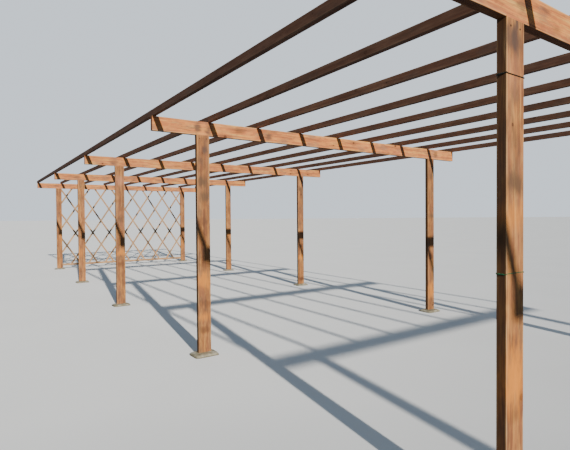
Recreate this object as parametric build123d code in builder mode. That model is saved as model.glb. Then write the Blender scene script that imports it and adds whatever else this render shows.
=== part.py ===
from build123d import *
import math
import os

# An open timber pergola, in millimetres.
# X runs across it, Y along it towards the lattice end, Z up from the ground.
# The origin is on the ground, in the middle of the plan.

# Plank section that the posts and the cross beams share
plank_width = 150.0
plank_thickness = 50.0
arris_radius = 3.0

# Row of frames
bay_length = 3500.0
bay_count = 5

# One frame: the clear height is from a post's foot to the underside of its beam
post_spacing = 3920.0
clear_height = 2410.0
beam_length = 5050.0
tongue_thickness = 25.0
joint_clearance = 0.4

# Rafters, laid lengthwise on the beams
rafter_width = 42.0
rafter_height = 65.0
rafter_count = 9
rafter_overhang = 75.0
splice_gap = 2.0
long_run_bays = 3

# Concrete pads under the posts
footing_length = 300.0
footing_width = 240.0
footing_height = 30.0
footing_taper = 30.0
footing_corner_radius = 40.0

# Lattice that closes the far end
diamond_width = 500.0
diamond_height = 750.0
crossing_height = 300.0
lath_width = 45.0
lath_thickness = 11.0
lattice_lap = 75.0
rail_height = 55.0
rail_thickness = 30.0
rail_ground_gap = 70.0

# Places worked out from the sizes above
frame_count = bay_count + 1
row_length = bay_count * bay_length + plank_thickness
first_frame_y = -row_length / 2
rafter_length = row_length + 2 * rafter_overhang
beam_underside_z = footing_height + clear_height
beam_top_z = beam_underside_z + plank_width
back_face_y = first_frame_y + row_length


def frame_front_y(number):
    """The front face of a frame; frame 1 is at the near end."""
    return first_frame_y + (number - 1) * bay_length


def post_x(side):
    """The middle of a post; side is -1 on the left and 1 on the right."""
    return side * post_spacing / 2


def make_post(side, number):
    """A plank on end, its upper end cut back to a tongue behind the beam."""
    front_y = frame_front_y(number)
    middle = (post_x(side), front_y + plank_thickness / 2)
    tongue_height = plank_width - joint_clearance
    cheek_depth = plank_thickness - tongue_thickness
    with BuildPart() as post:
        with BuildSketch(Plane.XY.offset(footing_height)):
            with Locations(middle):
                RectangleRounded(plank_width, plank_thickness, arris_radius)
        extrude(amount=clear_height + tongue_height)
        with BuildSketch(Plane.XY.offset(beam_underside_z)):
            with Locations((post_x(side), front_y + cheek_depth / 2)):
                Rectangle(plank_width, cheek_depth)
        extrude(amount=plank_width, mode=Mode.SUBTRACT)
    return post


def make_beam(number):
    """A plank on edge, housed at the back over the tongues of its two posts."""
    front_y = frame_front_y(number)
    middle = (front_y + plank_thickness / 2, beam_underside_z + plank_width / 2)
    housing_depth = tongue_thickness + joint_clearance
    housing_width = plank_width + 2 * joint_clearance
    with BuildPart() as beam:
        with BuildSketch(Plane.YZ.offset(-beam_length / 2)):
            with Locations(middle):
                RectangleRounded(plank_thickness, plank_width, arris_radius)
        extrude(amount=beam_length)
        # The arrises stay square over the posts, so that the front faces meet flush
        for side in (-1, 1):
            with BuildSketch(Plane.YZ.offset(post_x(side) - plank_width / 2)):
                with Locations(middle):
                    Rectangle(plank_thickness, plank_width)
            extrude(amount=plank_width)
        with BuildSketch(Plane.XY.offset(beam_underside_z)):
            for side in (-1, 1):
                with Locations((post_x(side), front_y + plank_thickness - housing_depth / 2)):
                    Rectangle(housing_width, housing_depth)
        extrude(amount=plank_width, mode=Mode.SUBTRACT)
    return beam


def make_rafter(row, start_y, end_y):
    """A straight length of one rafter row, lying on the beams."""
    first_x = -(beam_length - rafter_width) / 2
    pitch = (beam_length - rafter_width) / (rafter_count - 1)
    middle = (first_x + (row - 1) * pitch, beam_top_z + rafter_height / 2)
    with BuildPart() as rafter:
        with BuildSketch(Plane.XZ.offset(-end_y)):
            with Locations(middle):
                RectangleRounded(rafter_width, rafter_height, arris_radius)
        extrude(amount=end_y - start_y)
    return rafter


def make_footings(number):
    """The two cast pads of a frame, wider at the ground than at the top."""
    middle_y = frame_front_y(number) + plank_thickness / 2
    with BuildPart() as footings:
        with BuildSketch():
            with Locations((post_x(-1), middle_y), (post_x(1), middle_y)):
                RectangleRounded(footing_length, footing_width, footing_corner_radius)
        extrude(amount=footing_height, taper=footing_taper)
    return footings


def make_rail():
    """The rail between the last two posts, level with their back faces."""
    length = post_spacing - plank_width - 2 * joint_clearance
    middle = (back_face_y - rail_thickness / 2, footing_height + rail_ground_gap + rail_height / 2)
    with BuildPart() as rail:
        with BuildSketch(Plane.YZ.offset(-length / 2)):
            with Locations(middle):
                RectangleRounded(rail_thickness, rail_height, arris_radius)
        extrude(amount=length)
    return rail


def make_lattice():
    """Two layers of slanting laths on the back faces, fused at each crossing."""
    slope = math.degrees(math.atan2(diamond_height, diamond_width))
    field_width = post_spacing - plank_width + 2 * lattice_lap
    field_bottom = footing_height + rail_ground_gap
    field_top = beam_underside_z + lattice_lap
    field_height = field_top - field_bottom
    lath_reach = 2 * math.hypot(field_width, field_height)
    crossing_z = footing_height + crossing_height
    rows_above = math.ceil((field_top - crossing_z) / diamond_height)
    laths_each_way = math.ceil(field_width / 2 / diamond_width) + rows_above
    with BuildPart() as lattice:
        for layer, angle in enumerate((slope, -slope)):
            plane_y = back_face_y + layer * lath_thickness
            with BuildSketch(Plane.XZ.offset(-plane_y)):
                for lath in range(-laths_each_way, laths_each_way + 1):
                    with Locations((lath * diamond_width, crossing_z)):
                        Rectangle(lath_reach, lath_width, rotation=angle)
                with Locations((0, field_bottom + field_height / 2)):
                    Rectangle(field_width, field_height, mode=Mode.INTERSECT)
            extrude(amount=-lath_thickness)
        # Corner ends that cross no other lath are not fitted
        crossed = lattice.part.solids().sort_by(SortBy.VOLUME)[-1]
        add(crossed, mode=Mode.REPLACE)
    return lattice


def save(builder, name):
    """Labels a finished piece and writes it to its file."""
    builder.part.label = name
    export_step(builder.part, f"parts/{name}.step")


os.makedirs("parts", exist_ok=True)

for number in range(1, frame_count + 1):
    save(make_post(-1, number), f"left_post_{number}")
    save(make_post(1, number), f"right_post_{number}")
    save(make_beam(number), f"cross_beam_{number}")
    save(make_footings(number), f"footings_{number}")

# Each row's two timbers meet over a beam, and neighbouring rows meet over different ones
for row in range(1, rafter_count + 1):
    near_bays = long_run_bays if row % 2 else bay_count - long_run_bays
    splice_y = frame_front_y(near_bays + 1) + plank_thickness / 2
    near_end_y = -rafter_length / 2
    far_end_y = rafter_length / 2
    save(make_rafter(row, near_end_y, splice_y - splice_gap / 2), f"rafter_{row}_near")
    save(make_rafter(row, splice_y + splice_gap / 2, far_end_y), f"rafter_{row}_far")

save(make_rail(), "lattice_rail")
save(make_lattice(), "lattice_panel")
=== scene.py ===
"""Looks of the timber pergola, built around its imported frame."""
import math
import random

import bmesh
import bpy
from mathutils import Matrix, Vector, noise


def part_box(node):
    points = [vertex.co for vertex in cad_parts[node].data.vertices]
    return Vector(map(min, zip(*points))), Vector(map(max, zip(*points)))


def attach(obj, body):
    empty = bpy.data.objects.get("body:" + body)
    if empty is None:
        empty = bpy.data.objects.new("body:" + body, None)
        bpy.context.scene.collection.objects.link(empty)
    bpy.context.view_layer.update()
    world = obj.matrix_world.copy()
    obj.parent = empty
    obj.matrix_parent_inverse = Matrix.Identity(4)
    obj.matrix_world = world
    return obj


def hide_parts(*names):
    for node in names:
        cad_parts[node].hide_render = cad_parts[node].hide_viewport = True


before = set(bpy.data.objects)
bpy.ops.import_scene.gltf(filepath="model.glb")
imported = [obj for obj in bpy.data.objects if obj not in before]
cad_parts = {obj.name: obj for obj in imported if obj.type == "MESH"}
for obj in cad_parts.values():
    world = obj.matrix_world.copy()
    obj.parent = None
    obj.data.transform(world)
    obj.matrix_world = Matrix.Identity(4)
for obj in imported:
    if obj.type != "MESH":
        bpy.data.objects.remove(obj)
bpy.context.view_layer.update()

FRAME_COUNT = 6
RAFTER_ROWS = 9
SECOND_FRAME_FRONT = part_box("left_post_2")[0].y
FOOT_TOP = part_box("left_post_2")[0].z
BEAM_BOTTOM, BEAM_TOP = (corner.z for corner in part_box("cross_beam_1"))
POST_LEFT_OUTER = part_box("left_post_2")[0].x
POST_HALF = (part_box("left_post_2")[1].x - POST_LEFT_OUTER) / 2
POST_X = -POST_LEFT_OUTER - POST_HALF
POST_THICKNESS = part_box("left_post_2")[1].y - SECOND_FRAME_FRONT
POST_MIDDLE = (BEAM_TOP + FOOT_TOP) / 2
ARRIS_RADIUS = 0.003

# Far below any measure here: it keeps a division safe and tells which points coincide
TINY = 1e-6

# The lattice's own measures, which its box doesn't give; a crossing lies this high above the posts' feet
DIAMOND_WIDTH = 0.500
DIAMOND_HEIGHT = 0.750
CROSSING_HEIGHT = 0.300
LATH_WIDTH = 0.045


# Node helpers

class Tree:
    """Adds nodes to a material and links them; a value or a socket may feed any input."""

    def __init__(self, material):
        material.use_nodes = True
        self.tree = material.node_tree
        self.tree.nodes.clear()

    def feed(self, socket, value):
        if isinstance(value, bpy.types.NodeSocket):
            self.tree.links.new(value, socket)
        else:
            socket.default_value = value

    def add(self, kind, inputs=None, **settings):
        node = self.tree.nodes.new(kind)
        for key, value in settings.items():
            setattr(node, key, value)
        for key, value in (inputs or {}).items():
            self.feed(node.inputs[key], value)
        return node

    def math(self, operation, a, b=0.0, c=0.0):
        return self.add("ShaderNodeMath", {0: a, 1: b, 2: c}, operation=operation).outputs[0]

    def vector(self, operation, a, b):
        return self.add("ShaderNodeVectorMath", {0: a, 1: b}, operation=operation).outputs[0]

    def combine(self, x, y, z=0.0):
        return self.add("ShaderNodeCombineXYZ", {0: x, 1: y, 2: z}).outputs[0]

    def separate(self, vector):
        return self.add("ShaderNodeSeparateXYZ", {0: vector}).outputs

    def place(self):
        return self.add("ShaderNodeTexCoord").outputs["Object"]

    def noise(self, point, scale=1.0, detail=2.0, roughness=0.5):
        values = {"Vector": point, "Scale": scale, "Detail": detail, "Roughness": roughness}
        return self.add("ShaderNodeTexNoise", values).outputs["Fac"]

    def between(self, value, least, most):
        """Goes straight from least to most while the value goes from 0 to 1."""
        return self.math("MULTIPLY_ADD", value, most - least, least)

    def step(self, value, low, high, out_low=0.0, out_high=1.0):
        """Eases from out_low to out_high while the value goes from low to high."""
        values = {"Value": value, "From Min": low, "From Max": high, "To Min": out_low, "To Max": out_high}
        return self.add("ShaderNodeMapRange", values, interpolation_type="SMOOTHSTEP").outputs[0]

    def mix(self, factor, a, b):
        node = self.add("ShaderNodeMix", data_type="RGBA", blend_type="MIX")
        for socket, value in ((node.inputs[0], factor), (node.inputs[6], a), (node.inputs[7], b)):
            self.feed(socket, value)
        return node.outputs[2]

    def tint(self, colour, over, mask, strength):
        """Lays a second colour over the first where the mask is."""
        return self.mix(self.math("MULTIPLY", mask, strength), colour, over)

    def ramp(self, value, *stops):
        """A run of colours, each with its place from 0 to 1."""
        node = self.add("ShaderNodeValToRGB", {0: value})
        elements = node.color_ramp.elements
        while len(elements) < len(stops):
            elements.new(0.5)
        for element, (place, colour) in zip(elements, stops):
            element.position = place
            element.color = colour
        return node.outputs[0]

    def cells(self, u, v, cell_u, cell_v):
        """Scattered points, one a cell: offsets from the nearest in metres, and its random numbers."""
        point = self.combine(self.math("DIVIDE", u, cell_u), self.math("DIVIDE", v, cell_v))
        cell = self.add("ShaderNodeTexVoronoi", {"Vector": point, "Scale": 1.0}, voronoi_dimensions="2D")
        away = self.separate(self.vector("SUBTRACT", point, cell.outputs["Position"]))
        chance = self.add("ShaderNodeSeparateColor", {0: cell.outputs["Color"]}).outputs
        return self.math("MULTIPLY", away[0], cell_u), self.math("MULTIPLY", away[1], cell_v), chance

    def length(self, u, v):
        return self.math("SQRT", self.math("ADD", self.math("MULTIPLY", u, u), self.math("MULTIPLY", v, v)))

    def bump(self, height, distance, strength=1.0):
        values = {"Height": height, "Distance": distance, "Strength": strength}
        return self.add("ShaderNodeBump", values).outputs[0]

    def surface(self, colour, roughness, normal, **constants):
        values = {"Base Color": colour, "Roughness": roughness, "Normal": normal}
        shader = self.add("ShaderNodeBsdfPrincipled", values)
        for key, value in constants.items():
            shader.inputs[key.replace("_", " ")].default_value = value
        self.add("ShaderNodeOutputMaterial", {"Surface": shader.outputs[0]})


def rgb(red, green, blue):
    """A colour given as it looks on screen, 0 to 255, in the linear form that nodes take."""
    def linear(v):
        v /= 255
        return v / 12.92 if v <= 0.04045 else ((v + 0.055) / 1.055) ** 2.4
    return (linear(red), linear(green), linear(blue), 1.0)


def toned(colour, tone):
    return tuple(min(1.0, v * tone) for v in colour[:3]) + (1.0,)


# Colours of the timber

# In each palette, worn is the pale colour of the arrises: partly wear, partly painted highlight
POST_PALETTE = {
    "deep": rgb(116, 78, 54),
    "red": rgb(156, 98, 62),
    "middle": rgb(174, 115, 68),
    "light": rgb(206, 140, 76),
    "pale": rgb(228, 172, 100),
    "pink": rgb(186, 122, 90),
    "grey": rgb(118, 90, 70),
    "worn": rgb(206, 162, 112),
}
BEAM_PALETTE = {
    "deep": rgb(146, 92, 62),
    "red": rgb(200, 118, 68),
    "middle": rgb(232, 143, 76),
    "light": rgb(246, 163, 84),
    "pale": rgb(252, 200, 110),
    "pink": rgb(232, 148, 102),
    "grey": rgb(150, 112, 90),
    "worn": rgb(232, 184, 130),
}
# The rafters' wood is darker and greyer than the posts': partly a duller weathered wood, partly painted
# shade for the rafters' shaded sides and undersides
RAFTER_SHADE_AND_WEATHER_PALETTE = {
    "deep": rgb(104, 73, 57),
    "red": rgb(148, 95, 69),
    "middle": rgb(157, 110, 85),
    "light": rgb(173, 127, 99),
    "pale": rgb(195, 152, 121),
    "pink": rgb(154, 111, 92),
    "grey": rgb(120, 99, 87),
    "worn": rgb(177, 140, 110),
}
LATH_PALETTE = {
    "deep": rgb(138, 98, 66),
    "red": rgb(176, 124, 80),
    "middle": rgb(208, 158, 106),
    "light": rgb(226, 180, 126),
    "pale": rgb(242, 208, 158),
    "pink": rgb(208, 154, 116),
    "grey": rgb(152, 128, 102),
    "worn": rgb(234, 198, 150),
}
KNOT_HEART = rgb(96, 54, 34)
KNOT_RING = rgb(66, 39, 27)
KNOT_RIM = rgb(52, 33, 24)
CHECK_SHADE = rgb(52, 32, 22)

# Iron leaches a dark stain below each joint's screws, and rain splash marks the feet; at the marks so noted
# below, the grey, brown and olive are painted shadow, wholly or in part
GREY_STAIN_AND_SHADOW = rgb(84, 68, 62)
BROWN_STAIN_AND_SHADOW = rgb(98, 62, 42)
OLIVE_STAIN_AND_SHADOW = rgb(102, 78, 58)
HONEY = rgb(238, 149, 56)
ROSE = rgb(216, 144, 108)

# The narrow faces are darker, partly from the extra stain that they take up and partly as painted shade for
# their shaded sides: its colour and strength
POST_NARROW_STAIN_AND_SHADE = (rgb(76, 52, 36), 0.72)
BEAM_NARROW_STAIN_AND_SHADE = (rgb(84, 54, 38), 0.72)
RAFTER_NARROW_STAIN_AND_SHADE = (RAFTER_SHADE_AND_WEATHER_PALETTE["deep"], 0.40)


# Grain

# Noise fields: scale along the grain and across it, offset, detail, roughness
FIELDS = {
    "wander_across": (0.6, 2.0, 0.0, 2.0, 0.5),
    "wander_through": (0.6, 2.0, 17.0, 2.0, 0.5),
    "ripple": (3.0, 26.0, 5.0, 2.0, 0.5),
    "broad": (1.8, 30.0, 0.0, 4.0, 0.6),
    "fine": (5.0, 130.0, 29.0, 2.0, 0.5),
    "yellow": (3.4, 85.0, 57.0, 2.0, 0.5),
    "ruddy": (3.0, 75.0, 31.0, 2.0, 0.5),
    "rosy": (1.5, 9.0, 83.0, 3.0, 0.5),
    "dull": (4.5, 12.0, 91.0, 3.0, 0.55),
    "mottle": (11.0, 30.0, 67.0, 4.0, 0.6),
    "fibre": (14.0, 700.0, 0.0, 2.0, 0.6),
    "wear": (6.0, 8.0, 3.0, 3.0, 0.5),
    "stain": (9.0, 32.0, 41.0, 3.0, 0.5),
}

# Streaks: the field, where it starts to show, where it is full, its strength there, its colour
STREAKS_UNDER_LATEWOOD = (
    ("rosy", 0.42, 0.62, 0.45, "pink"),
    ("yellow", 0.54, 0.68, 0.40, "pale"),
    ("ruddy", 0.54, 0.68, 0.60, "red"),
)
STREAKS_OVER_LATEWOOD = (
    ("fine", 0.32, 0.68, 0.36, "deep"),
    ("dull", 0.52, 0.68, 0.62, "grey"),
    ("dull", 0.47, 0.32, 0.45, "light"),
    ("mottle", 0.50, 0.30, 0.45, "deep"),
    ("mottle", 0.52, 0.68, 0.20, "pale"),
    ("fibre", 0.30, 0.75, 0.18, "deep"),
)

# Depths under a face, in metres, where an effect starts and where it is full
WIDE_FACE_DEPTHS = (0.0022, 0.0012)
ARRIS_DEPTHS = (0.010, 0.003)
END_DEPTHS = (0.0025, 0.0005)

# Each timber starts at a random place in the pattern, and its narrow faces take knots from farther on
LONGEST_SHIFT = 40
NARROW_FACE_SHIFT = 3.7


class Grain:
    """A point's place in a timber, in metres: along the grain, across the wide face and through it."""

    def __init__(self, t, along, across, through, half, draw):
        self.t = t
        self.along, self.across, self.through = along, across, through
        self.half_along, self.half_across, self.half_through = half
        self.shift = [draw.uniform(-LONGEST_SHIFT, LONGEST_SHIFT) for _ in range(3)]
        self.fields = {}
        self.wide = self.skin(through, self.half_through, WIDE_FACE_DEPTHS)
        self.narrow = t.math("SUBTRACT", 1.0, self.wide)
        on_wide = t.math("MULTIPLY", self.wide, across)
        on_narrow = t.math("MULTIPLY", self.narrow, t.math("ADD", through, NARROW_FACE_SHIFT))
        self.face = t.math("ADD", t.math("ADD", on_wide, on_narrow), self.shift[1])
        self.run = t.math("ADD", along, self.shift[0])

    def skin(self, place, half, depths):
        """Rises from 0 to 1 between two depths under a face."""
        start, full = (half - depth for depth in depths)
        return self.t.step(self.t.math("ABSOLUTE", place), start, full)

    def part(self, amount):
        """Pushes the grain aside on the face that shows."""
        t = self.t
        self.across = t.math("SUBTRACT", self.across, t.math("MULTIPLY", amount, self.wide))
        self.through = t.math("SUBTRACT", self.through, t.math("MULTIPLY", amount, self.narrow))

    def field(self, name):
        """One of the noise fields, made once."""
        if name not in self.fields:
            t = self.t
            along_scale, across_scale, offset, detail, roughness = FIELDS[name]
            places = (self.along, self.across, self.through)
            scales = (along_scale, across_scale, across_scale)
            point = t.combine(*(
                t.math("MULTIPLY_ADD", place, scale, shift + offset)
                for place, scale, shift in zip(places, scales, self.shift)
            ))
            self.fields[name] = t.noise(point, detail=detail, roughness=roughness)
        return self.fields[name]


# Knots: the cell that may hold one, and its smallest and largest radius
KNOT_CELL = (0.40, 0.13)
KNOT_RADIUS = (0.004, 0.013)

# A length along the grain counts for less than one across it, which draws a knot and its halo out
KNOT_ALONG = 0.75
HALO_ALONG = 0.30

# In knot radii: where halo and knot start and where they are full, and the inner and outer side of the rim
HALO_SLOPE = (3.2, 0.8)
KNOT_SLOPE = (1.3, 0.7)
RIM_INNER_SLOPE = (0.55, 0.9)
RIM_OUTER_SLOPE = (1.4, 1.0)

# A knot's ragged outline and its rings, and how far the grain gives way
KNOT_RAGGED = 0.25
KNOT_RAGGED_SCALE = 60.0
KNOT_RINGS = 19.0
GRAIN_PARTING = 0.85


class Knots:
    """Knots scattered over a timber's faces, with the grain parting round them."""

    def __init__(self, grain, share):
        t = self.t = grain.t
        u, v, chance = t.cells(grain.run, grain.face, *KNOT_CELL)
        self.there = t.math("LESS_THAN", chance[0], share)
        radius = t.between(chance[1], *KNOT_RADIUS)
        uneven = t.noise(t.combine(grain.run, grain.face), KNOT_RAGGED_SCALE)
        away = t.math("DIVIDE", t.length(t.math("MULTIPLY", u, KNOT_ALONG), v), radius)
        self.away = t.math("ADD", away, t.between(uneven, -KNOT_RAGGED, KNOT_RAGGED))
        near = t.math("DIVIDE", t.length(t.math("MULTIPLY", u, HALO_ALONG), v), radius)
        self.halo = t.math("MULTIPLY", t.step(near, *HALO_SLOPE), self.there)
        self.mask = t.math("MULTIPLY", t.step(self.away, *KNOT_SLOPE), self.there)
        grain.part(t.math("MULTIPLY", t.math("MULTIPLY", v, self.halo), GRAIN_PARTING))

    def paint(self, colour, palette):
        """Adds the knots, darkest at the rim."""
        t = self.t
        ring = t.step(t.math("SINE", t.math("MULTIPLY", self.away, KNOT_RINGS)), -0.2, 0.9)
        rim = t.math("MULTIPLY", t.step(self.away, *RIM_INNER_SLOPE), t.step(self.away, *RIM_OUTER_SLOPE))
        rim = t.math("MULTIPLY", rim, self.there)
        colour = t.tint(colour, palette["deep"], self.halo, 0.50)
        colour = t.tint(colour, KNOT_HEART, self.mask, 0.70)
        colour = t.tint(colour, KNOT_RING, t.math("MULTIPLY", self.mask, ring), 0.40)
        return t.tint(colour, KNOT_RIM, rim, 0.45)


# The pith lies at most this share of the half width off the middle, and this far outside a wide face
PITH_ACROSS_SHARE = 0.6
PITH_OUTSIDE = (0.005, 0.05)
PITH_WANDER_ACROSS = 0.045
PITH_WANDER_THROUGH = 0.035

# Growth rings: their unevenness and spacing, and the shares of a ring where it darkens and turns pale again
RING_RIPPLE = 0.004
RING_SPACING = (0.0050, 0.0075)
LATEWOOD_RISE = (0.20, 0.85)
LATEWOOD_FALL = (1.0, 0.9)


def late_growth(grain, draw):
    """The dark part of each growth ring, about a pith line that wanders along the timber."""
    t = grain.t
    pith_across = draw.uniform(-PITH_ACROSS_SHARE, PITH_ACROSS_SHARE) * grain.half_across
    pith_through = draw.choice((-1, 1)) * (grain.half_through + draw.uniform(*PITH_OUTSIDE))

    def from_pith(place, field, wander, pith):
        return t.math("ADD", place, t.math("MULTIPLY_ADD", grain.field(field), 2 * wander, -wander - pith))

    radius = t.length(
        from_pith(grain.across, "wander_across", PITH_WANDER_ACROSS, pith_across),
        from_pith(grain.through, "wander_through", PITH_WANDER_THROUGH, pith_through),
    )
    radius = t.math("MULTIPLY_ADD", grain.field("ripple"), RING_RIPPLE, radius)
    ring = t.math("FRACT", t.math("DIVIDE", radius, draw.uniform(*RING_SPACING)))
    return t.math("MULTIPLY", t.step(ring, *LATEWOOD_RISE), t.step(ring, *LATEWOOD_FALL))


def add_streaks(grain, colour, palette, streaks):
    t = grain.t
    for field, start, full, strength, name in streaks:
        colour = t.mix(t.step(grain.field(field), start, full, 0.0, strength), colour, palette[name])
    return colour


# Drying checks: the cell that may hold one, its shift from the knots' cells, and the share of cells that do
CHECK_CELL = (0.60, 0.040)
CHECK_SHIFT = (9.0, 5.0)
CHECK_SHARE = 0.22

# Least and greatest half length and half width, the waviness, and the shares of the length where it tapers
CHECK_REACH = (0.05, 0.21)
CHECK_WIDTH = (0.0003, 0.0013)
CHECK_WOBBLE = 0.003
CHECK_WOBBLE_SCALE = 14.0
CHECK_TAPER = (1.0, 0.35)


def drying_checks(grain):
    """Fine cracks, lens-shaped and along the grain."""
    t = grain.t
    shifted = (t.math("ADD", place, shift) for place, shift in zip((grain.run, grain.face), CHECK_SHIFT))
    u, v, chance = t.cells(*shifted, *CHECK_CELL)
    reach = t.between(chance[1], *CHECK_REACH)
    uneven = t.noise(t.combine(grain.run, chance[2]), CHECK_WOBBLE_SCALE)
    away = t.math("ADD", v, t.between(uneven, -CHECK_WOBBLE, CHECK_WOBBLE))
    taper = t.step(t.math("DIVIDE", t.math("ABSOLUTE", u), reach), *CHECK_TAPER)
    width = t.math("MULTIPLY", taper, t.between(chance[2], *CHECK_WIDTH))
    check = t.math("LESS_THAN", t.math("ABSOLUTE", away), width)
    return t.math("MULTIPLY", check, t.math("LESS_THAN", chance[0], CHECK_SHARE))


# The pale arrises, partly wear and partly painted highlight where a rounded arris catches the light, come in
# patches, from little to much, are weaker on the narrow faces and fade in beside a joint
WEAR_PATCHES = (0.3, 0.62)
WEAR_STRENGTH = (0.15, 0.8)
WEAR_ON_NARROW = 0.4
WEAR_FADE = 0.01


def worn_and_highlit_arrises(grain, bare):
    """Pale arrises, partly wear and partly painted highlight, most of all on the wide faces, and none where
    another timber is flush with the face.
    """
    t = grain.t
    edge_across = grain.skin(grain.across, grain.half_across, ARRIS_DEPTHS)
    edge_through = grain.skin(grain.through, grain.half_through, ARRIS_DEPTHS)
    worn = t.math("MULTIPLY", edge_across, edge_through)
    worn = t.math("MULTIPLY", worn, t.step(grain.field("wear"), *WEAR_PATCHES, *WEAR_STRENGTH))
    worn = t.math("MULTIPLY", worn, t.between(grain.wide, WEAR_ON_NARROW, 1.0))
    for low, high in bare:
        middle, reach = (low + high) / 2, (high - low) / 2
        away = t.math("ABSOLUTE", t.math("SUBTRACT", grain.along, middle))
        worn = t.math("MULTIPLY", worn, t.step(away, reach, reach + WEAR_FADE))
    return worn


# A mark's ragged outline, where it starts and is full in its own half widths, its share on narrow faces
PATCH_RAGGED = 0.80
PATCH_SLOPE = (1.1, 0.2)
PATCH_ON_NARROW = 0.25


def add_stains(grain, colour, stains):
    """Stains and painted shadows, each with its place along and across, half length, half width, strength
    and colour.
    """
    t = grain.t
    for patch_along, patch_across, length, width, strength, stain in stains:
        u = t.math("DIVIDE", t.math("SUBTRACT", grain.along, patch_along), length)
        v = t.math("DIVIDE", t.math("SUBTRACT", grain.across, patch_across), width)
        ragged = t.between(grain.field("stain"), -PATCH_RAGGED, PATCH_RAGGED)
        spread = t.step(t.math("ADD", ragged, t.length(u, v)), *PATCH_SLOPE, 0.0, strength)
        colour = t.tint(colour, stain, spread, t.between(grain.wide, PATCH_ON_NARROW, 1.0))
    return colour


# Relief, in half millimetres
FIBRE_RISE = 0.35
LATEWOOD_HEIGHT = 0.30
CHECK_HEIGHT = -2.5
KNOT_HEIGHT = 0.5
RELIEF_UNIT = 0.0005
RELIEF_STRENGTH = 0.8


def relief(grain, latewood, check, knot):
    """Latewood, fibres and knots stand up a little, and checks are sunk."""
    t = grain.t
    height = t.math("MULTIPLY", grain.field("fibre"), FIBRE_RISE)
    for mask, rise in ((latewood, LATEWOOD_HEIGHT), (check, CHECK_HEIGHT), (knot, KNOT_HEIGHT)):
        height = t.math("MULTIPLY_ADD", mask, rise, height)
    return t.bump(height, RELIEF_UNIT, RELIEF_STRENGTH)


# No two timbers have quite the same tone, and a timber is roughest where its fibres stand up
TONE_RANGE = (0.94, 1.06)
ROUGHNESS_RANGE = (0.60, 0.82)


def wood(grain, palette, draw, knots, tone=1.0, edge=None, stains=(), bare=()):
    """Oiled softwood: its colour, roughness and normal, with the given share of cells that hold a knot."""
    t = grain.t
    tone *= draw.uniform(*TONE_RANGE)
    palette = {name: toned(colour, tone) for name, colour in palette.items()}
    scattered = Knots(grain, knots)
    latewood = late_growth(grain, draw)
    check = drying_checks(grain)
    colour = t.ramp(
        grain.field("broad"),
        (0.33, palette["deep"]),
        (0.42, palette["red"]),
        (0.50, palette["middle"]),
        (0.58, palette["light"]),
        (0.67, palette["pale"]),
    )
    colour = add_streaks(grain, colour, palette, STREAKS_UNDER_LATEWOOD)
    colour = t.tint(colour, palette["red"], latewood, 0.30)
    colour = add_streaks(grain, colour, palette, STREAKS_OVER_LATEWOOD)
    colour = scattered.paint(colour, palette)
    colour = t.tint(colour, CHECK_SHADE, check, 0.85)
    # Darker narrow faces: partly extra stain, partly painted shade
    if edge:
        edge_colour, edge_strength = edge
        colour = t.tint(colour, edge_colour, grain.narrow, edge_strength)
    # Pale arrises: partly wear, partly painted highlight
    colour = t.mix(worn_and_highlit_arrises(grain, bare), colour, palette["worn"])

    # End grain drinks in more oil and dirt
    end = grain.skin(grain.along, grain.half_along, END_DEPTHS)
    colour = t.tint(colour, palette["deep"], end, 0.55)
    colour = add_stains(grain, colour, stains)
    roughness = t.between(grain.field("fibre"), *ROUGHNESS_RANGE)
    return colour, roughness, relief(grain, latewood, check, scattered.mask)


# Timbers

# Which of the three directions run along the grain, across the wide face and through it
AXES = {"X": (0, 2, 1), "Y": (1, 0, 2), "Z": (2, 0, 1)}


def dress(node, material):
    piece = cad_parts[node]
    piece.data.materials.clear()
    piece.data.materials.append(material)


def finish_timber(node, axis, palette, seed, knots, **details):
    """Gives a straight timber its own wood, measured from its own middle."""
    low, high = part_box(node)
    centre, half = (low + high) / 2, (high - low) / 2
    order = AXES[axis]
    material = bpy.data.materials.new(f"wood_{node}")
    t = Tree(material)
    local = t.separate(t.vector("SUBTRACT", t.place(), tuple(centre)))
    draw = random.Random(seed)
    grain = Grain(t, *(local[i] for i in order), [half[i] for i in order], draw)
    t.surface(*wood(grain, palette, draw, knots, **details), Specular_IOR_Level=0.30)
    dress(node, material)


def mark(height, across, half_length, half_width, strength, stain):
    """A mark on a post by its height above the post's foot: a stain, or where so noted, painted shadow."""
    return (FOOT_TOP + height - POST_MIDDLE, across, half_length, half_width, strength, stain)


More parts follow.
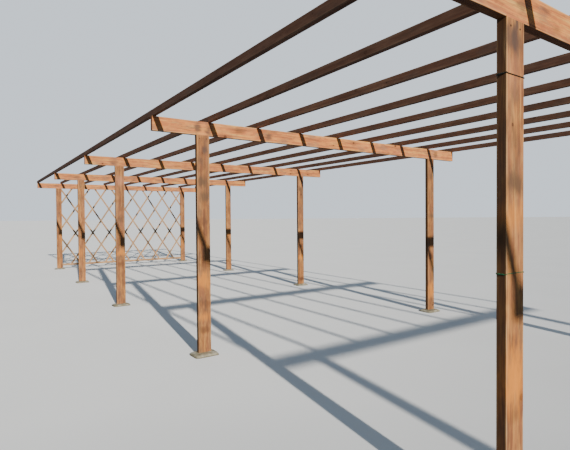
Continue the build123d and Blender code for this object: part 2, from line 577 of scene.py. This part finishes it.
POST_MARKS = {
    "left_post_2": [
        mark(0.560, 0.000, 0.050, 0.080, 0.40, BROWN_STAIN_AND_SHADOW),
        mark(0.740, 0.000, 0.200, 0.120, 0.80, HONEY),
        mark(1.500, -0.010, 0.090, 0.120, 0.45, HONEY),
        mark(1.655, 0.005, 0.070, 0.100, 0.85, OLIVE_STAIN_AND_SHADOW),
        # Painted shadow of a vine's branches
        mark(1.850, -0.010, 0.080, 0.040, 0.50, OLIVE_STAIN_AND_SHADOW),
        mark(2.180, 0.000, 0.160, 0.100, 0.20, ROSE),
        mark(2.315, -0.010, 0.100, 0.100, 0.85, GREY_STAIN_AND_SHADOW),
        mark(2.400, 0.012, 0.080, 0.016, 0.50, GREY_STAIN_AND_SHADOW),
    ],
    "left_post_3": [
        mark(0.245, 0.000, 0.050, 0.090, 0.60, BROWN_STAIN_AND_SHADOW),
        mark(0.400, 0.000, 0.060, 0.120, 0.50, HONEY),
        mark(0.550, 0.010, 0.050, 0.080, 0.45, BROWN_STAIN_AND_SHADOW),
        mark(0.800, 0.000, 0.120, 0.120, 0.60, HONEY),
        mark(0.980, 0.000, 0.050, 0.100, 0.50, BROWN_STAIN_AND_SHADOW),
        mark(1.460, 0.000, 0.060, 0.080, 0.40, BROWN_STAIN_AND_SHADOW),
        mark(1.740, 0.005, 0.080, 0.080, 0.80, OLIVE_STAIN_AND_SHADOW),
        mark(1.905, -0.010, 0.090, 0.075, 0.85, OLIVE_STAIN_AND_SHADOW),
        mark(2.250, 0.020, 0.060, 0.040, 0.65, GREY_STAIN_AND_SHADOW),
    ],
    "left_post_4": [
        mark(0.700, 0.000, 0.060, 0.090, 0.50, BROWN_STAIN_AND_SHADOW),
        mark(0.900, 0.000, 0.080, 0.120, 0.60, HONEY),
        mark(1.500, 0.010, 0.080, 0.080, 0.50, OLIVE_STAIN_AND_SHADOW),
        mark(2.150, 0.000, 0.120, 0.120, 0.50, ROSE),
    ],
    "right_post_3": [
        mark(0.300, 0.000, 0.160, 0.120, 0.60, HONEY),
        # Painted shadow, below the cast shadows of a beam and a rafter
        mark(0.860, 0.000, 0.070, 0.100, 0.75, BROWN_STAIN_AND_SHADOW),
        mark(1.500, 0.010, 0.060, 0.090, 0.70, OLIVE_STAIN_AND_SHADOW),
        mark(2.130, 0.000, 0.080, 0.080, 0.50, OLIVE_STAIN_AND_SHADOW),
    ],
    "right_post_4": [
        mark(0.110, 0.000, 0.060, 0.100, 0.85, BROWN_STAIN_AND_SHADOW),
        mark(0.600, 0.000, 0.080, 0.120, 0.60, HONEY),
        mark(0.850, 0.000, 0.060, 0.090, 0.60, BROWN_STAIN_AND_SHADOW),
        mark(2.120, 0.000, 0.080, 0.090, 0.75, OLIVE_STAIN_AND_SHADOW),
    ],
}

# The other posts' stains: lowest and highest place, half length, half width, least and most strength, colour
USUAL_POST_MARKS = (
    (2.22, 2.34, 0.10, 0.035, 0.2, 0.5, GREY_STAIN_AND_SHADOW),
    (1.50, 2.00, 0.12, 0.060, 0.2, 0.5, OLIVE_STAIN_AND_SHADOW),
    (0.50, 1.00, 0.16, 0.090, 0.3, 0.6, HONEY),
    (0.12, 0.30, 0.05, 0.060, 0.2, 0.5, BROWN_STAIN_AND_SHADOW),
)
BEAM_MARKS = {
    "cross_beam_2": [
        (-1.900, 0.000, 0.060, 0.070, 0.55, GREY_STAIN_AND_SHADOW),
        (-1.680, 0.035, 0.060, 0.022, 0.50, GREY_STAIN_AND_SHADOW),
        (-1.560, -0.040, 0.060, 0.030, 0.30, BROWN_STAIN_AND_SHADOW),
        (1.900, 0.000, 0.080, 0.050, 0.40, GREY_STAIN_AND_SHADOW),
    ],
    "cross_beam_3": [
        # Partly a stain at the joint, partly painted shadow of a vine's stem
        (-2.025, 0.000, 0.050, 0.100, 0.75, GREY_STAIN_AND_SHADOW),
        # Painted shadow beside a rafter's shadow band
        (-1.890, -0.005, 0.060, 0.070, 0.75, GREY_STAIN_AND_SHADOW),
        (-1.500, 0.020, 0.100, 0.040, 0.55, BROWN_STAIN_AND_SHADOW),
        (-1.100, -0.010, 0.070, 0.065, 0.75, GREY_STAIN_AND_SHADOW),
        (2.080, 0.000, 0.060, 0.070, 0.60, BROWN_STAIN_AND_SHADOW),
    ],
}

# Some posts are darker or lighter than their fellows, and the first two rafter rows are darker as painted
# shade
POST_TONES = {"left_post_2": 1.02, "left_post_3": 0.90, "right_post_3": 0.93}
RAFTER_SHADE_TONES = {1: 0.70, 2: 0.80}

# The share of cells that hold a knot
POST_KNOTS = 0.25
BEAM_KNOTS = 0.20
RAFTER_KNOTS = 0.25
LATH_KNOTS = 0.2


def usual_post_marks(seed):
    draw = random.Random(seed)
    marks = []
    for lowest, highest, half_length, half_width, least, most, stain in USUAL_POST_MARKS:
        height = draw.uniform(lowest, highest)
        across = draw.uniform(-0.05, 0.05)
        marks.append(mark(height, across, half_length, half_width, draw.uniform(least, most), stain))
    return marks


def usual_beam_marks(seed):
    """On each side a grey stain by the post, and a brown one nearer the middle."""
    draw = random.Random(seed)
    marks = []
    for side in (-1, 1):
        place = side * POST_X + draw.uniform(-0.12, 0.04)
        across = draw.uniform(-0.03, 0.03)
        marks.append((place, across, 0.09, 0.05, draw.uniform(0.3, 0.5), GREY_STAIN_AND_SHADOW))
        place = side * draw.uniform(0.4, 1.5)
        across = draw.uniform(-0.04, 0.04)
        marks.append((place, across, 0.10, 0.03, draw.uniform(0.2, 0.5), BROWN_STAIN_AND_SHADOW))
    return marks


def finish_post(post, seed):
    marks = POST_MARKS.get(post) or usual_post_marks(seed)
    tone = POST_TONES.get(post, 1.0)
    finish_timber(post, "Z", POST_PALETTE, seed, POST_KNOTS, tone=tone, edge=POST_NARROW_STAIN_AND_SHADE, stains=marks)


def finish_beam(beam, seed):
    flush = [(side * POST_X - POST_HALF, side * POST_X + POST_HALF) for side in (-1, 1)]
    marks = BEAM_MARKS.get(beam) or usual_beam_marks(seed)
    finish_timber(beam, "X", BEAM_PALETTE, seed, BEAM_KNOTS, edge=BEAM_NARROW_STAIN_AND_SHADE, stains=marks, bare=flush)


def finish_rafter(rafter, row, seed):
    # Rows 1 and 2 are darkened as painted shade
    tone = RAFTER_SHADE_TONES.get(row, 1.0)
    finish_timber(rafter, "Y", RAFTER_SHADE_AND_WEATHER_PALETTE, seed, RAFTER_KNOTS, tone=tone, edge=RAFTER_NARROW_STAIN_AND_SHADE)


# What sets the laths apart: the second layer's numbers start this much later, and each lath is shifted
LAYER_STEP = 40.0
LATH_SHIFT = 50.0

# A lath shows no end grain, so its half length is far more than real
ENDLESS = 1000.0


def lath_place(t, middle_y, lath_half):
    """A point's place in its own lath, and that lath's chance number."""
    slope = math.atan2(DIAMOND_HEIGHT, DIAMOND_WIDTH)
    spacing = DIAMOND_WIDTH * math.sin(slope)
    place = t.separate(t.place())
    behind = t.math("GREATER_THAN", place[1], middle_y)
    lean = t.between(behind, 1.0, -1.0)
    rise = t.math("SUBTRACT", place[2], FOOT_TOP + CROSSING_HEIGHT)
    sideways = t.math("MULTIPLY", t.math("MULTIPLY", place[0], lean), -math.sin(slope))
    across = t.math("MULTIPLY_ADD", rise, math.cos(slope), sideways)
    climb = t.math("MULTIPLY", t.math("MULTIPLY", rise, lean), math.sin(slope))
    along = t.math("MULTIPLY_ADD", place[0], math.cos(slope), climb)
    lath = t.math("ROUND", t.math("DIVIDE", across, spacing))
    across = t.math("MULTIPLY_ADD", lath, -spacing, across)
    through = t.math("MULTIPLY_ADD", lean, lath_half, t.math("SUBTRACT", place[1], middle_y))
    number = t.math("MULTIPLY_ADD", behind, LAYER_STEP, lath)
    chance = t.add("ShaderNodeTexWhiteNoise", {"W": number}, noise_dimensions="1D").outputs["Value"]
    along = t.math("MULTIPLY_ADD", chance, LATH_SHIFT, along)
    return along, across, through, chance


def finish_lattice():
    """Laths of two crossing directions, each with its own grain and tone."""
    low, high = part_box("lattice_panel")
    lath_half = (high.y - low.y) / 4
    material = bpy.data.materials.new("wood_lattice_panel")
    t = Tree(material)
    *place, chance = lath_place(t, (low.y + high.y) / 2, lath_half)
    draw = random.Random(602)
    grain = Grain(t, *place, (ENDLESS, LATH_WIDTH / 2, lath_half), draw)
    colour, roughness, normal = wood(grain, LATH_PALETTE, draw, LATH_KNOTS)
    colour = t.tint(colour, LATH_PALETTE["grey"], chance, 0.55)
    t.surface(colour, roughness, normal, Specular_IOR_Level=0.25)
    dress("lattice_panel", material)


def finish_timbers():
    for number in range(1, FRAME_COUNT + 1):
        finish_post(f"left_post_{number}", 100 + number)
        finish_post(f"right_post_{number}", 200 + number)
        finish_beam(f"cross_beam_{number}", 300 + number)
    for row in range(1, RAFTER_ROWS + 1):
        finish_rafter(f"rafter_{row}_near", row, 400 + row)
        finish_rafter(f"rafter_{row}_far", row, 500 + row)
    finish_timber("lattice_rail", "X", LATH_PALETTE, 601, LATH_KNOTS)
    finish_lattice()


# Meshes

def piece_from(bm, name, material):
    """A finished mesh piece that rides with the pergola."""
    mesh = bpy.data.meshes.new(name)
    bm.normal_update()
    bm.to_mesh(mesh)
    bm.free()
    mesh.materials.append(material)
    piece = bpy.data.objects.new(name, mesh)
    bpy.context.scene.collection.objects.link(piece)
    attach(piece, "root")
    return piece


def stack_rings(bm, rings, close_ends=True):
    """Skins a run of rings that have the same number of points."""
    made = [[bm.verts.new(point) for point in ring] for ring in rings]
    count = len(rings[0])
    for lower, upper in zip(made, made[1:]):
        for i in range(count):
            j = (i + 1) % count
            bm.faces.new((lower[i], lower[j], upper[j], upper[i])).smooth = True
    if close_ends:
        bm.faces.new(list(reversed(made[0])))
        bm.faces.new(made[-1])


# Mortar pads under the posts

def mortar():
    """Cast by hand: cloudy, sandy and gritty, and damp towards the ground."""
    material = bpy.data.materials.new("mortar")
    t = Tree(material)
    place = t.place()
    height = t.separate(place)[2]
    cloud = t.noise(place, scale=14.0, detail=4.0, roughness=0.6)
    sand = t.noise(place, scale=260.0, detail=3.0, roughness=0.7)
    grit = t.add("ShaderNodeTexVoronoi", {"Vector": place, "Scale": 190.0}).outputs["Distance"]
    colour = t.ramp(
        cloud,
        (0.32, rgb(122, 114, 92)),
        (0.46, rgb(158, 148, 122)),
        (0.56, rgb(178, 170, 146)),
        (0.70, rgb(204, 198, 180)),
    )
    colour = t.mix(t.step(sand, 0.38, 0.62, 0.30, 0.0), colour, rgb(96, 88, 72))
    colour = t.mix(t.step(grit, 0.30, 0.10, 0.0, 0.25), colour, rgb(210, 204, 188))
    damp = t.step(t.math("MULTIPLY_ADD", cloud, -0.02, height), 0.006, -0.008, 0.0, 0.55)
    colour = t.mix(damp, colour, rgb(84, 76, 58))
    roughness = t.step(sand, 0.3, 0.7, 0.82, 0.95)
    normal = t.bump(t.math("ADD", sand, t.math("MULTIPLY", grit, -0.8)), 0.0015, 0.7)
    t.surface(colour, roughness, normal, Specular_IOR_Level=0.2)
    return material


# How far out from the post each ring of a pad lies, from 0 at the post to 1 at the rim, and its height
PAD_PROFILE = (
    (-0.10, 0.70), (0.0, 1.16), (0.05, 1.09), (0.12, 1.02), (0.24, 1.0),
    (0.38, 0.99), (0.52, 0.98), (0.64, 0.96), (0.74, 0.92), (0.82, 0.84),
    (0.88, 0.70), (0.93, 0.50), (0.97, 0.26), (0.99, 0.08), (0.975, 0.0),
)
PAD_POINTS = 112

# The power that squares a pad's round outline
PAD_CORNER = 7.0

# Scales of the lumps and the sand, round the pad and up it, and the lumps' smoothness, fineness and octaves
LUMP_SCALE = 3
LUMP_SCALE_UP = 1.5
LUMP_FRACTAL = (0.9, 2.1, 3)
SAND_SCALE = 60
SAND_SCALE_UP = 4


def pad_ring(centre, reach, share, height, seed):
    """One ring of a pad, between the post's outline and the rim."""
    ring = []
    for i in range(PAD_POINTS):
        turn = 2 * math.pi * i / PAD_POINTS
        east, north = math.cos(turn), math.sin(turn)
        near = min(POST_HALF / max(abs(east), TINY), POST_THICKNESS / 2 / max(abs(north), TINY))
        far = (abs(east / reach.x) ** PAD_CORNER + abs(north / reach.y) ** PAD_CORNER) ** (-1 / PAD_CORNER)
        out = near + (far - near) * share
        spot = Vector((east * LUMP_SCALE + seed, north * LUMP_SCALE, height * LUMP_SCALE_UP))
        lump = noise.fractal(spot, *LUMP_FRACTAL)
        spot = Vector((east * out * SAND_SCALE + seed, north * out * SAND_SCALE, height * SAND_SCALE_UP))
        sand = noise.noise(spot)

        # The outer part is rough, and its outline draws in by a tenth at most
        rough = max(0.0, min(1.0, share * 1.6))
        out *= 1.0 - rough * min(0.10, 0.035 + 0.05 * abs(lump) + 0.012 * sand)
        lift = 1.0 - rough * (0.07 + 0.08 * lump) + 0.035 * sand
        z = max(0.0, FOOT_TOP * height * lift)
        ring.append(Vector((centre.x + east * out, centre.y + north * out, z)))
    return ring


def pads():
    """Two pads to a frame, in place of the plain ones."""
    material = mortar()
    for number in range(1, FRAME_COUNT + 1):
        low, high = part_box(f"footings_{number}")
        reach = Vector(((high.x - low.x) / 2 - POST_X, (high.y - low.y) / 2))
        bm = bmesh.new()
        for side in (-1, 1):
            centre = Vector((side * POST_X, (low.y + high.y) / 2))
            seed = 17.3 * number + 5.1 * side
            rings = [pad_ring(centre, reach, share, height, seed) for share, height in reversed(PAD_PROFILE)]
            stack_rings(bm, rings)
        pad = piece_from(bm, f"mortar_pads_{number}", material)
        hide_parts(f"footings_{number}")


# Screws and nails

# The outlines of the heads: reach and rise, in head radii
SCREW_HEAD = ((1.0, -0.25), (1.0, 0.04), (0.93, 0.16), (0.72, 0.27), (0.46, 0.31))
SCREW_DRIVE = ((0.40, 0.30), (0.34, 0.02), (0.10, -0.02))
NAIL_HEAD = ((0.9, -0.4), (1.0, 0.05), (0.92, 0.20), (0.50, 0.26), (0.15, 0.20))
HEAD_POINTS = 12
DRIVE_WAIST = 0.62
JOINT_SCREW_RADIUS = 0.0052
RAFTER_SCREW_RADIUS = 0.0042
NAIL_RADIUS = 0.0034

# The joint's screws: across the post, and above the beam's underside
FRONT_SCREWS = ((-0.038, -0.034), (0.042, -0.036))
BACK_SCREWS = ((-0.040, 0.045), (0.040, 0.105))

# The rafters' screws: off the beam's middle, above its top, and the slant of the head
RAFTER_SCREW_ASIDE = 0.012
RAFTER_SCREW_ABOVE = 0.020
RAFTER_SCREW_SLANT = 0.45

# No fixing sits just where its neighbours do
SLIP_SIDEWAYS = 0.004
SLIP_UPWARDS = 0.003

# The lattice's counts, from the middle to each side and from below the first crossing up
NAIL_COLUMNS = 8
NAIL_LEVELS = 8
NAIL_LATHS = 9
LATH_END_MARGIN = 0.03


def dark_steel():
    material = bpy.data.materials.new("dark_steel")
    t = Tree(material)
    rust = t.noise(t.place(), scale=420.0, detail=3.0, roughness=0.6)
    colour = t.ramp(rust, (0.35, rgb(38, 33, 30)), (0.55, rgb(66, 52, 42)), (0.72, rgb(104, 66, 42)))
    t.surface(colour, t.step(rust, 0.3, 0.7, 0.45, 0.85), t.bump(rust, 0.0002, 0.5), Metallic=0.7)
    return material


def slip(draw, reach):
    return draw.uniform(-reach, reach)


def head(bm, centre, out, radius, profile, drive=()):
    """A fixing's head: rings about its axis, with a star-shaped drive sunk in a screw."""
    side = out.orthogonal().normalized()
    other = out.cross(side)
    rings = []
    for part, waist in ((profile, 1.0), (drive, DRIVE_WAIST)):
        for reach, rise in part:
            ring = []
            for i in range(HEAD_POINTS):
                turn = 2 * math.pi * i / HEAD_POINTS
                away = radius * reach * (waist if i % 2 else 1.0)
                point = centre + side * (away * math.cos(turn)) + other * (away * math.sin(turn))
                ring.append(point + out * (radius * rise))
            rings.append(ring)
    stack_rings(bm, rings)


def screw(bm, centre, out, radius):
    head(bm, centre, out.normalized(), radius, SCREW_HEAD, SCREW_DRIVE)


def joint_screws(material):
    """Two below each beam on the post's face, and two through each tongue from behind."""
    draw = random.Random(71)
    bm = bmesh.new()
    for number in range(1, FRAME_COUNT + 1):
        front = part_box(f"cross_beam_{number}")[0].y
        for side in (-1, 1):
            for y, out, places in ((front, -1, FRONT_SCREWS), (front + POST_THICKNESS, 1, BACK_SCREWS)):
                for across, above in places:
                    x = side * POST_X + across + slip(draw, SLIP_SIDEWAYS)
                    z = BEAM_BOTTOM + above + slip(draw, SLIP_UPWARDS)
                    screw(bm, Vector((x, y, z)), Vector((0, out, 0)), JOINT_SCREW_RADIUS)
    piece_from(bm, "joint_screws", material)


def rafter_screws(material):
    """Slanting screws that hold each rafter's sides down to the beams, none on the outermost sides."""
    draw = random.Random(72)
    bm = bmesh.new()
    for row in range(1, RAFTER_ROWS + 1):
        low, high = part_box(f"rafter_{row}_near")
        sides = [side for side in (-1, 1) if (row, side) not in ((1, -1), (RAFTER_ROWS, 1))]
        for number in range(1, FRAME_COUNT + 1):
            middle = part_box(f"cross_beam_{number}")[0].y + POST_THICKNESS / 2
            for side in sides:
                x = high.x if side > 0 else low.x
                y = middle + side * RAFTER_SCREW_ASIDE + slip(draw, SLIP_SIDEWAYS)
                z = BEAM_TOP + RAFTER_SCREW_ABOVE + slip(draw, SLIP_UPWARDS)
                screw(bm, Vector((x, y, z)), Vector((side, 0, RAFTER_SCREW_SLANT)), RAFTER_SCREW_RADIUS)
    piece_from(bm, "rafter_screws", material)


def crossing_places(low_z, inner):
    """Where two laths cross, between the posts and below the beam."""
    places = []
    for column in range(-NAIL_COLUMNS, NAIL_COLUMNS + 1):
        for level in range(-1, NAIL_LEVELS):
            x = column * DIAMOND_WIDTH / 2
            z = FOOT_TOP + CROSSING_HEIGHT + level * DIAMOND_HEIGHT / 2
            crossed = (column + level) % 2 == 0
            if crossed and abs(x) < inner and low_z + LATH_END_MARGIN < z < BEAM_BOTTOM:
                places.append((x, z))
    return places


def lath_end_places(high, inner):
    """Where each lath meets a post, the beam or the rail."""
    start = FOOT_TOP + CROSSING_HEIGHT
    steepness = DIAMOND_HEIGHT / DIAMOND_WIDTH
    edge_x = (inner + high.x) / 2
    rail_z = (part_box("lattice_rail")[0].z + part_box("lattice_rail")[1].z) / 2
    beam_z = (BEAM_BOTTOM + high.z) / 2
    places = []
    for lean in (-1, 1):
        for lath in range(-NAIL_LATHS, NAIL_LATHS + 1):
            for side in (-1, 1):
                z = start + lean * steepness * (side * edge_x - lath * DIAMOND_WIDTH)
                if rail_z < z < beam_z:
                    places.append((side * edge_x, z))
            for z in (rail_z, beam_z):
                x = lath * DIAMOND_WIDTH + lean * (z - start) / steepness
                if abs(x) < inner:
                    places.append((x, z))
    return places


def lattice_nails(material):
    low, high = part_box("lattice_panel")
    inner = POST_X - POST_HALF
    draw = random.Random(73)
    bm = bmesh.new()
    for x, z in crossing_places(low.z, inner) + lath_end_places(high, inner):
        nudge = slip(draw, SLIP_UPWARDS)
        head(bm, Vector((x + nudge, high.y, z - nudge)), Vector((0, 1, 0)), NAIL_RADIUS, NAIL_HEAD)
    piece_from(bm, "lattice_nails", material)


# Tie wires drawn tight round the second post on the left

WIRE_SIDES = 8
CORNER_STEPS = 6
WIRE_SAG = 0.0025

# The ends lie off the post by this many radii, and this far behind its front face
KNOT_OFF = 1.6
KNOT_BEHIND = 0.012
TWIST_POINTS = 25
TWIST_TURN = 0.75
TWIST_ADVANCE = 0.0011
SPLAY_FROM = 16
SPLAY = 0.10


def coated_wire(name, colour, worn):
    material = bpy.data.materials.new(name)
    t = Tree(material)
    scuff = t.noise(t.place(), scale=300.0, detail=3.0, roughness=0.6)
    tone = t.mix(t.step(scuff, 0.5, 0.7, 0.0, 0.6), colour, worn)
    t.surface(tone, t.step(scuff, 0.3, 0.7, 0.35, 0.6), t.bump(scuff, 0.0002, 0.4))
    return material


def tube(bm, points, radius, closed):
    """A round wire along points."""
    count = len(points)
    rings = []
    normal = None
    for i, point in enumerate(points):
        before = points[i - 1] if closed or i else point
        after = points[(i + 1) % count] if closed or i + 1 < count else point
        ahead = (after - before).normalized()
        if normal is None:
            normal = ahead.orthogonal().normalized()
        normal = (normal - ahead * normal.dot(ahead)).normalized()
        other = ahead.cross(normal)
        ring = []
        for j in range(WIRE_SIDES):
            turn = 2 * math.pi * j / WIRE_SIDES
            ring.append(point + normal * (radius * math.cos(turn)) + other * (radius * math.sin(turn)))
        rings.append(ring)
    if closed:
        rings.append(rings[0])
    stack_rings(bm, rings, close_ends=not closed)
    if closed:
        bmesh.ops.remove_doubles(bm, verts=bm.verts, dist=TINY)


def turn_round(low, high, height, radius):
    """Points of one turn round a post, a wire's radius off its rounded arrises, with a slight sag."""
    corner = ARRIS_RADIUS + radius
    half_x, half_y = (high.x - low.x) / 2 - ARRIS_RADIUS, (high.y - low.y) / 2 - ARRIS_RADIUS
    centre = Vector(((low.x + high.x) / 2, (low.y + high.y) / 2, FOOT_TOP + height))
    points = []
    for quarter, (sx, sy) in enumerate(((1, 1), (-1, 1), (-1, -1), (1, -1))):
        for step in range(CORNER_STEPS + 1):
            turn = math.pi / 2 * (quarter + step / CORNER_STEPS)
            x = sx * half_x + corner * math.cos(turn)
            y = sy * half_y + corner * math.sin(turn)
            points.append(centre + Vector((x, y, WIRE_SAG * math.sin(turn * 2 + height * 9))))
    return points


def twisted_end(knot, phase, radius):
    """Points of one of the two ends, twisted together and splayed at the tip."""
    points = []
    for i in range(TWIST_POINTS):
        turn = phase + i * TWIST_TURN
        spread = radius * (1.0 + SPLAY * max(0, i - SPLAY_FROM))
        x = -spread * abs(math.cos(turn)) * 0.9
        y = i * TWIST_ADVANCE + spread * math.cos(turn)
        points.append(knot + Vector((x, y, spread * math.sin(turn))))
    return points


def tie(name, post, height, radius, material):
    """One turn round a post and two short twisted ends on its outer side."""
    low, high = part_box(post)
    bm = bmesh.new()
    tube(bm, turn_round(low, high, height, radius), radius, closed=True)
    knot = Vector((low.x - radius * KNOT_OFF, low.y + KNOT_BEHIND, FOOT_TOP + height))
    for phase in (0.0, math.pi):
        tube(bm, twisted_end(knot, phase, radius), radius, closed=False)
    piece_from(bm, name, material)


def fixings():
    steel = dark_steel()
    joint_screws(steel)
    rafter_screws(steel)
    lattice_nails(steel)
    dark = coated_wire("dark_wire", rgb(34, 38, 26), rgb(70, 66, 52))
    green = coated_wire("green_wire", rgb(28, 112, 70), rgb(96, 150, 112))
    tie("tie_wire_upper", "left_post_2", 2.155, 0.0022, dark)
    tie("tie_wire_lower", "left_post_2", 1.230, 0.0016, green)


# Floor, light and camera

FLOOR_RADIUS = 400
FARTHEST_SEEN = 500

# The floor's two cloudy greys as the camera sees them, and those that light bounces off
FLOOR_SHOWN = ((0.68, 0.69, 0.70, 1), (0.74, 0.75, 0.76, 1))
FLOOR_THROWN = ((0.15, 0.16, 0.18, 1), (0.17, 0.18, 0.20, 1))
FILL_COLOUR, FILL_STRENGTH = (0.57, 0.79, 1.0, 1.0), 0.26
BACKDROP_COLOUR, BACKDROP_STRENGTH = (0.80, 0.88, 0.97, 1.0), 1.1


def floor_material():
    """Pale to the camera, while the light that it throws back at the timber is much weaker."""
    material = bpy.data.materials.new("floor")
    t = Tree(material)
    point = t.place()
    cloud = t.noise(point, scale=0.6, detail=3.0)
    normal = t.bump(t.noise(point, scale=40.0), 0.001, 0.2)

    def matt(greys):
        values = {"Color": t.mix(cloud, *greys), "Roughness": 0.5, "Normal": normal}
        return t.add("ShaderNodeBsdfDiffuse", values).outputs[0]

    seen = t.add("ShaderNodeLightPath").outputs["Is Camera Ray"]
    blend = t.add("ShaderNodeMixShader", {0: seen, 1: matt(FLOOR_THROWN), 2: matt(FLOOR_SHOWN)})
    t.add("ShaderNodeOutputMaterial", {"Surface": blend.outputs[0]})
    return material


def plain_floor():
    bpy.ops.mesh.primitive_circle_add(vertices=96, radius=FLOOR_RADIUS, fill_type="NGON")
    floor = bpy.context.object
    floor.name = "floor"
    floor.data.materials.append(floor_material())


def lamp(name, travel, energy, angle, colour):
    """A distant lamp whose light goes the way of travel; a wider angle softens its shadows."""
    light = bpy.data.lights.new(name, "SUN")
    light.energy = energy
    light.angle = math.radians(angle)
    light.color = colour
    holder = bpy.data.objects.new(name, light)
    holder.rotation_mode = "QUATERNION"
    holder.rotation_quaternion = Vector(travel).to_track_quat("-Z", "Y")
    bpy.context.scene.collection.objects.link(holder)


def surroundings():
    """An even fill that lights the timber, and a pale backdrop that only the camera sees."""
    world = bpy.data.worlds.new("studio")
    world.use_nodes = True
    tree = world.node_tree
    fill = tree.nodes["Background"]
    fill.inputs["Color"].default_value = FILL_COLOUR
    fill.inputs["Strength"].default_value = FILL_STRENGTH
    backdrop = tree.nodes.new("ShaderNodeBackground")
    backdrop.inputs["Color"].default_value = BACKDROP_COLOUR
    backdrop.inputs["Strength"].default_value = BACKDROP_STRENGTH
    seen = tree.nodes.new("ShaderNodeLightPath")
    blend = tree.nodes.new("ShaderNodeMixShader")
    tree.links.new(seen.outputs["Is Camera Ray"], blend.inputs[0])
    tree.links.new(fill.outputs[0], blend.inputs[1])
    tree.links.new(backdrop.outputs[0], blend.inputs[2])
    tree.links.new(blend.outputs[0], tree.nodes["World Output"].inputs["Surface"])
    bpy.context.scene.world = world


def studio_light():
    """A low key light from behind the camera, and two weak soft lamps."""
    lamp("key", (0.158, 1.0, -0.402), energy=5.0, angle=0.9, colour=(1.0, 0.94, 0.84))
    lamp("front", (0.0, 1.0, -0.35), energy=0.17, angle=60.0, colour=(0.20, 0.45, 1.0))
    lamp("back", (-0.5, -1.0, -0.45), energy=1.3, angle=50.0, colour=(0.90, 0.95, 1.0))
    surroundings()


# The photograph's viewpoint, from the foot of the second post on the left, at its outer front corner
CAMERA_FROM_POST = (-2.0091, -1.1332, 1.5029)
CAMERA_YAW = 34.4176
CAMERA_PITCH = -1.0306
CAMERA_ROLL = -0.4184
FOCAL_PIXELS = 451.1
PICTURE_WIDTH = 570.0
SENSOR_WIDTH = 36.0


def photo_camera():
    yaw, pitch, roll = (math.radians(v) for v in (CAMERA_YAW, CAMERA_PITCH, CAMERA_ROLL))
    forward = Vector((math.sin(yaw) * math.cos(pitch), math.cos(yaw) * math.cos(pitch), math.sin(pitch)))
    level_right = Vector((math.cos(yaw), -math.sin(yaw), 0.0))
    level_up = level_right.cross(forward)
    right = level_right * math.cos(roll) + level_up * math.sin(roll)
    up = level_up * math.cos(roll) - level_right * math.sin(roll)
    foot = (POST_LEFT_OUTER, SECOND_FRAME_FRONT, FOOT_TOP)
    place = Vector([start + away for start, away in zip(foot, CAMERA_FROM_POST)])
    lens = bpy.data.cameras.new("camera")
    lens.sensor_width = SENSOR_WIDTH
    lens.lens = FOCAL_PIXELS / PICTURE_WIDTH * SENSOR_WIDTH
    lens.clip_end = FARTHEST_SEEN
    camera = bpy.data.objects.new("camera", lens)
    camera.matrix_world = Matrix((
        (right.x, up.x, -forward.x, place.x),
        (right.y, up.y, -forward.y, place.y),
        (right.z, up.z, -forward.z, place.z),
        (0.0, 0.0, 0.0, 1.0),
    ))
    bpy.context.scene.collection.objects.link(camera)
    bpy.context.scene.camera = camera


finish_timbers()
pads()
fixings()
plain_floor()
studio_light()
photo_camera()
